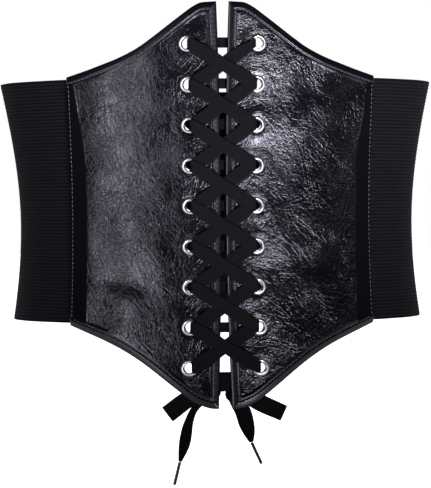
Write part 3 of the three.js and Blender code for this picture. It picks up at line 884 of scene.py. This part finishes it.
def long_crease_at(side, from_slit, z):
    """Depth of the long fine creases, each with a low lip along both sides."""
    depth = 0
    for on, start_across, start_z, end_across, end_z in long_creases:
        if on != side:
            continue
        length = math.hypot(end_across - start_across, end_z - start_z)
        onward = ((end_across - start_across) / length, (end_z - start_z) / length)
        run = (from_slit - start_across) * onward[0] + (z - start_z) * onward[1]
        away = np.abs((z - start_z) * onward[0] - (from_slit - start_across) * onward[1])
        away = np.abs(away + crease.long_bow * np.sin(math.pi * run / length))
        fade = smooth(np.minimum(run, length - run) / crease.long_fade + 0.5)
        valley = hump(away / crease.long_width)
        lip = hump((away - 2.4 * crease.long_width) / crease.long_width)
        depth = depth + crease.long_depth * fade * (valley - 0.5 * lip)
    return depth


def edge_distances(from_slit, z):
    """Distances from the slit edge, the top or bottom edge, and the side edge."""
    from_top = (top_edge(from_slit) - z) / edge_stretch(top_edge, from_slit)
    from_bottom = (z - bottom_edge(from_slit)) / edge_stretch(bottom_edge, from_slit)
    return from_slit, np.minimum(from_top, from_bottom), panel.width - from_slit


def strip_width(z):
    """Width of the smooth strip over the elastic's end, narrower towards the top."""
    slant = smooth((z - strip.slant_from) / strip.slant_over)
    return strip.width - (strip.width - strip.top_width) * slant


def stitch_wave(run):
    return np.cos(2 * math.pi * run / stitch.pitch)


def panel_height(side, from_slit, z, field):
    """How far the leather's face stands out of the wall, and how creased it is."""
    by_slit, by_edge, by_side = edge_distances(from_slit, z)
    turned = np.minimum(by_slit * border.width / groove.slit_inset, by_edge)
    inside = smooth((turned - border.width - border.inner_gap) / border.inner_soft)
    open_side = smooth((by_side - strip_width(z) + strip.soft) / strip.soft)
    run = np.where(by_slit < by_edge, z, from_slit * edge_stretch(top_edge, from_slit))
    wave = stitch_wave(run)
    climb = np.clip(turned / (border.width - border.brow), 0, 1)
    puff = border.puff * climb**0.7 * (1 + 0.05 * wave) - border.thin * (1 - climb)
    puff = puff * smooth((border.width + border.brow / 2 - turned) / (1.5 * border.brow))
    raised = hump((turned - border.width - shoulder.past_groove) / shoulder.width) * (by_slit < by_edge)
    line = groove.depth * hump((turned - border.width) / groove.width) * (0.85 + 0.15 * wave)
    sewn = seam.depth * hump((by_side - seam.inset) / seam.width) * inside
    low_strip = strip.drop * (1 - open_side) * inside
    soft = inside * (strip.relief_share + (1 - strip.relief_share) * open_side)
    relief = sample(field, from_slit, z) * soft
    puckered = 0
    for row in range(eyelet.rows):
        away = np.hypot(from_slit - eyelet.inset, z - row_height(row))
        puckered = puckered + hump((away - pucker.radius) / pucker.width)
        relief = relief * (1 - np.exp(-((away / pucker.flat_radius) ** 4)))
    rise = puff + shoulder.height * raised - line - sewn - low_strip + relief
    rise = rise + pucker.height * puckered * inside
    rise = rise - skin.dent_share * dent_at(side, from_slit, z) - long_crease_at(side, from_slit, z) * inside
    edge = np.minimum(np.minimum(by_slit, by_edge), by_side)
    middle = -panel.wall / 2
    return middle + (rise - middle) * rounded(edge / skin.edge_round), inside * open_side


def grid_heights(from_slit, steps, middle_rows):
    """Heights of a panel grid's rows at each column, from the top edge down."""
    top, bottom = top_edge(from_slit), bottom_edge(from_slit)
    top_stretch, bottom_stretch = edge_stretch(top_edge, from_slit), edge_stretch(bottom_edge, from_slit)
    upper = top[None, :] - steps[:, None] * top_stretch[None, :]
    lower = bottom[None, :] + steps[::-1, None] * bottom_stretch[None, :]
    share = (np.arange(middle_rows) + 1)[:, None] / (middle_rows + 1)
    middle = upper[-1] + (lower[0] - upper[-1]) * share
    return np.concatenate([upper, middle, lower])


def cut_holes(faces, from_slit, z, radius):
    """The faces without those over the eyelets' holes."""
    centre_across = from_slit.ravel()[faces].mean(axis=1)
    centre_up = z.ravel()[faces].mean(axis=1)
    keep = np.ones(len(faces), bool)
    for row in range(eyelet.rows):
        keep &= np.hypot(centre_across - eyelet.inset, centre_up - row_height(row)) > radius
    return faces[keep]


def make_panel(side, leather, matt, thread):
    field = crinkle_field(side)
    fine = np.array([0, 0.05, 0.18, 0.4, 0.7, 1.05, 1.5, 2, 2.5, 3, 3.4, 3.8, 4.2, 4.6, 5, 5.5])
    inner = np.arange(fine[-1] + skin.column_step, panel.width - 1.6, skin.column_step)
    last = panel.width - np.array([1.4, 1.05, 0.7, 0.4, 0.18, 0.05, 0])
    columns = np.concatenate([fine, inner, last])
    z = grid_heights(columns, fine, skin.middle_rows)
    from_slit = np.broadcast_to(columns, z.shape)
    height, creased = panel_height(side, from_slit, z, field)
    outer = wall_point(side * (slit_half(z) + from_slit), z, height)
    outer_faces = cut_holes(grid_faces(*z.shape, flip=side < 0), from_slit, z, skin.hole_radius)

    edge = np.array([0, 0.1, 0.4, 1])
    back_inner = np.linspace(edge[-1], panel.width - edge[-1], skin.back_columns)[1:-1]
    back_columns = np.concatenate([edge, back_inner, panel.width - edge[::-1]])
    back_z = grid_heights(back_columns, edge, skin.back_rows)
    back_from = np.broadcast_to(back_columns, back_z.shape)
    by_slit, by_edge, by_side = edge_distances(back_from, back_z)
    near = np.minimum(np.minimum(by_slit, by_edge), by_side)
    back_height = -panel.wall / 2 * (1 + rounded(near / edge[-1])) - dent_at(side, back_from, back_z)
    back = wall_point(side * (slit_half(back_z) + back_from), back_z, back_height)
    back_faces = grid_faces(*back_z.shape, flip=side > 0)
    back_faces = cut_holes(back_faces, back_from, back_z, skin.back_hole_radius)

    points, faces = joined([(outer.reshape(-1, 3), outer_faces), (back.reshape(-1, 3), back_faces)])
    flat = np.stack([from_slit + (300 if side > 0 else 0), z, 0 * z], axis=-1).reshape(-1, 3)
    marks = {
        "creased": np.concatenate([creased.ravel(), np.zeros(back_z.size)]),
        "flat": np.concatenate([flat, np.zeros((back_z.size, 3))]),
    }
    name = side_names[side]
    piece = add_piece(f"leather_{name}", points, faces, leather, [f"panel_{name}"], marks)
    piece.data.materials.append(matt)
    middle_from = from_slit.ravel()[outer_faces].mean(axis=1)
    middle_z = z.ravel()[outer_faces].mean(axis=1)
    _, by_edge, by_side = edge_distances(middle_from, middle_z)
    on_strip = (by_side < strip_width(middle_z) - strip.soft / 2) & (by_edge > border.width)
    slots = np.concatenate([on_strip, np.ones(len(back_faces), bool)]).astype(int)
    piece.data.polygons.foreach_set("material_index", slots)
    make_stitches(side, thread, field)


# Stitches

# Rings of a stitch: share of its length, rise over the leather, share of its radius
stitch_rings = np.array([
    (0, -0.3, 0.4),
    (0.08, 0.1, 0.9),
    (0.3, 0.28, 1),
    (0.5, 0.32, 1),
    (0.7, 0.28, 1),
    (0.92, 0.1, 0.9),
    (1, -0.3, 0.4),
])


def stitch_run(places, normals):
    """One stitch after another along a line of places."""
    gaps = np.linalg.norm(np.diff(places, axis=0), axis=1)
    run = np.concatenate([[0], np.cumsum(gaps)])
    share, rise, size = stitch_rings.T
    turns = np.linspace(0, 2 * math.pi, stitch.sides + 1)[:-1]
    faces = grid_faces(len(share), stitch.sides, closed_columns=True)
    parts = []
    for start in np.arange(0.6, run[-1] - stitch.length - 0.4, stitch.pitch):
        at = start + share * stitch.length
        middle = np.stack([np.interp(at, run, places[:, k]) for k in range(3)], axis=1)
        out = unit(np.stack([np.interp(at, run, normals[:, k]) for k in range(3)], axis=1))
        middle = middle + out * rise[:, None]
        across = unit(np.cross(out, unit(middle[-1] - middle[0])))
        ring = across[:, None] * np.cos(turns)[None, :, None] + out[:, None] * np.sin(turns)[None, :, None]
        points = middle[:, None] + ring * (size * stitch.radius)[:, None, None]
        parts.append((points.reshape(-1, 3), faces))
    return parts


def make_stitches(side, thread, field):
    """The seams round one panel."""
    across = np.linspace(groove.slit_inset, panel.width - 1.5, 400)
    top = top_edge(across) - border.width * edge_stretch(top_edge, across)
    bottom = bottom_edge(across) + border.width * edge_stretch(bottom_edge, across)
    upright = np.linspace(top[0], bottom[0], 600)
    by_side = np.linspace(top_corner - border.width, -top_corner + border.width, 400)
    lines = [
        (across, top),
        (across, bottom),
        (np.full(600, groove.slit_inset), upright),
        (np.full(400, panel.width - seam.inset), by_side),
    ]
    parts = []
    for from_slit, z in lines:
        height, _ = panel_height(side, from_slit, z, field)
        along = side * (slit_half(z) + from_slit)
        parts.extend(stitch_run(wall_point(along, z, height), wall_frame(along, z)[2]))
    points, faces = joined(parts)
    add_piece(f"stitching_{side_names[side]}", points, faces, thread)


# The elastic band


def make_elastic(material):
    """The band's two faces, with a rib every few millimetres, closed along its edges."""
    count = int(round(elastic.height / rib.pitch))
    rows = count * rib.rows + 1
    share = np.arange(rows) / (rows - 1)
    z = elastic.height * (0.5 - share)[:, None]
    start = slit_half(z) + panel.width - elastic.overlap
    quarter = oval_at(z).quarter
    length = 4 * quarter - 2 * start
    across = np.linspace(0, 1, rib.columns + 1)[None, :]
    along = start + length * across
    wrapped = np.where(along > 2 * quarter, along - 4 * quarter, along)
    heights = np.broadcast_to(z, along.shape)
    phase = (np.arange(rows) % rib.rows) / rib.rows
    edge = np.clip(np.minimum(share, 1 - share) * elastic.height / rib.edge, 0, 1)[:, None]
    wander = 1 + rib.wander * np.sin(along / 9.0 + 5 * np.sin(z * 0.7)) * np.sin(z * 1.9)
    swell = (0.5 + 0.5 * np.cos(2 * math.pi * phase))[:, None] * edge * wander
    outer_offset = -panel.wall - clearance - rib.depth * (1 - swell)
    inner_offset = -panel.wall - clearance - elastic.wall + rib.depth * (1 - swell)
    outer = wall_point(wrapped, heights, outer_offset)
    inner = wall_point(wrapped, heights, inner_offset)
    face = grid_faces(*along.shape)
    size = along.size
    index = np.arange(size).reshape(along.shape)
    rim = np.concatenate([index[0], index[1:, -1], index[-1, -2::-1], index[-2:0:-1, 0]])
    following = np.roll(rim, -1)
    walls = np.stack([rim, following, following + size, rim + size], axis=1)
    faces = np.concatenate([face, face[:, ::-1] + size, walls])
    points = np.concatenate([outer.reshape(-1, 3), inner.reshape(-1, 3)])
    # ridge is 1 on the ribs' tops and 0 in their grooves; the material paints shade into the grooves from it.
    marks = {"run": np.tile(along.ravel(), 2), "ridge": np.tile(swell.ravel(), 2)}
    piece = add_piece("ribbed_band", points, faces, material, ["elastic_band"], marks)


# The eyelets


def eyelet_section():
    """Radius and height round an eyelet's section: rolled flange, funnel, tube and rolled back."""
    back = -panel.wall
    return np.array([
        (4.3, 0.0), (4.75, -0.06), (4.96, 0.02), (5.0, 0.14), (4.95, 0.32), (4.8, 0.55), (4.58, 0.78),
        (4.32, 0.96), (4.05, 1.08), (3.8, 1.12), (3.58, 1.06), (3.38, 0.9), (3.22, 0.66), (3.08, 0.36),
        (2.96, 0.0), (2.86, -0.5), (2.79, -1.1), (2.76, back + 0.1), (2.8, back - 0.5), (2.95, back - 0.78),
        (3.3, back - 0.9), (3.8, back - 0.86), (4.2, back - 0.66), (4.36, back - 0.4), (4.25, back - 0.16),
        (3.9, back - 0.1), (3.3, back + 0.1), (3.3, -0.4),
    ])


def make_eyelets(side, material):
    section = eyelet_section()
    sides = 44
    turns = np.linspace(0, 2 * math.pi, sides + 1)[:-1]
    faces = grid_faces(len(section), sides, closed_rows=True, closed_columns=True)
    parts = []
    for row in range(eyelet.rows):
        z = row_height(row)
        along = side * eyelet_along(z)
        right, up, out = wall_frame(along, z)
        centre = oval_point(along, z)
        ring = right * np.cos(turns)[:, None] + up * np.sin(turns)[:, None]
        points = centre + section[:, None, :1] * ring[None] + section[:, None, 1:] * out
        parts.append((points.reshape(-1, 3), faces))
    points, faces = joined(parts)
    name = side_names[side]
    nodes = [f"eyelet_{name}_{row + 1}" for row in range(eyelet.rows)]
    add_piece(f"eyelets_{name}", points, faces, material, nodes)


# The studio


def make_floor():
    """A plain pale floor just under the lace's tips."""
    level = cad_box[0][2] - 0.003
    mesh = bpy.data.meshes.new("floor")
    corners = [(-3.5, -0.3, level), (3.5, -0.3, level), (3.5, 6, level), (-3.5, 6, level)]
    mesh.from_pydata(corners, [], [(0, 1, 2, 3)])
    floor = bpy.data.objects.new("floor", mesh)
    bpy.context.collection.objects.link(floor)
    material, surface, _ = new_material("pale_floor")
    seen = add_node(material.node_tree, "ShaderNodeLightPath").outputs["Is Camera Ray"]
    dress(surface, Base_Color=(0.9, 0.9, 0.9, 1), Roughness=0.9, Emission_Color=(1, 1, 1, 1),
          Emission_Strength=ranged(seen, 0.25, 1.2))
    mesh.materials.append(material)


def add_softbox(name, azimuth, elevation, distance, width, height, power):
    turn, lift = math.radians(azimuth), math.radians(elevation)
    aside, ahead = math.sin(turn) * math.cos(lift), -math.cos(turn) * math.cos(lift)
    place = Vector((aside, ahead, math.sin(lift))) * distance
    light = bpy.data.lights.new(name, "AREA")
    light.shape = "RECTANGLE"
    light.size = width
    light.size_y = height
    light.energy = power
    light.color = (0.86, 0.84, 1.0)
    lamp = bpy.data.objects.new(name, light)
    lamp.matrix_world = Matrix.Translation(place) @ place.to_track_quat("Z", "Y").to_matrix().to_4x4()
    bpy.context.collection.objects.link(lamp)


# Softboxes: azimuth, elevation, distance, width, height, power
softboxes = {
    "softbox_left": (-45, -15, 1.3, 0.24, 1.3, 6.8),
    "wing_left": (-45, -15, 1.6, 0.6, 1.5, 1.8),
    "softbox_right": (20, -26, 1.3, 0.36, 0.54, 30),
    "wing_right": (30, -30, 1.6, 0.5, 0.5, 5),
    "bounce": (0, -42, 1.2, 1.6, 0.4, 3.5),
    "kicker": (165, 32, 1.5, 0.8, 0.6, 8),
}


def make_studio():
    """White to the viewer, but brighter behind the belt than round the viewer in what the belt mirrors."""
    world = bpy.data.worlds.new("studio")
    bpy.context.scene.world = world
    world.use_nodes = True
    tree = world.node_tree
    tree.nodes.clear()
    direction = add_node(tree, "ShaderNodeTexCoord").outputs["Generated"]
    split = add_node(tree, "ShaderNodeSeparateXYZ", Vector=direction)
    strength = ranged(split.outputs["Y"], 0.008, 1.0, 0.2, 0.55)
    around = add_node(tree, "ShaderNodeBackground", Color=(0.94, 0.95, 1, 1), Strength=strength)
    behind = add_node(tree, "ShaderNodeBackground", Color=(1, 1, 1, 1), Strength=1.0)
    seen = add_node(tree, "ShaderNodeLightPath").outputs["Is Camera Ray"]
    mixed = add_node(tree, "ShaderNodeMixShader")
    feed_all(mixed.inputs, (seen, around.outputs[0], behind.outputs[0]))
    add_node(tree, "ShaderNodeOutputWorld", Surface=mixed.outputs[0])
    for name, row in softboxes.items():
        add_softbox(name, *row)
    bpy.context.scene.view_settings.view_transform = "Standard"


def main():
    make_camera()
    woven = lace_material()
    make_bow(woven, aglet_material())
    make_lace(woven)
    leather = leather_material()
    matt = matt_leather_material()
    thread = thread_material()
    nickel = nickel_material()
    for side in (-1, 1):
        make_panel(side, leather, matt, thread)
        make_eyelets(side, nickel)
    make_elastic(elastic_material())
    make_floor()
    make_studio()


main()
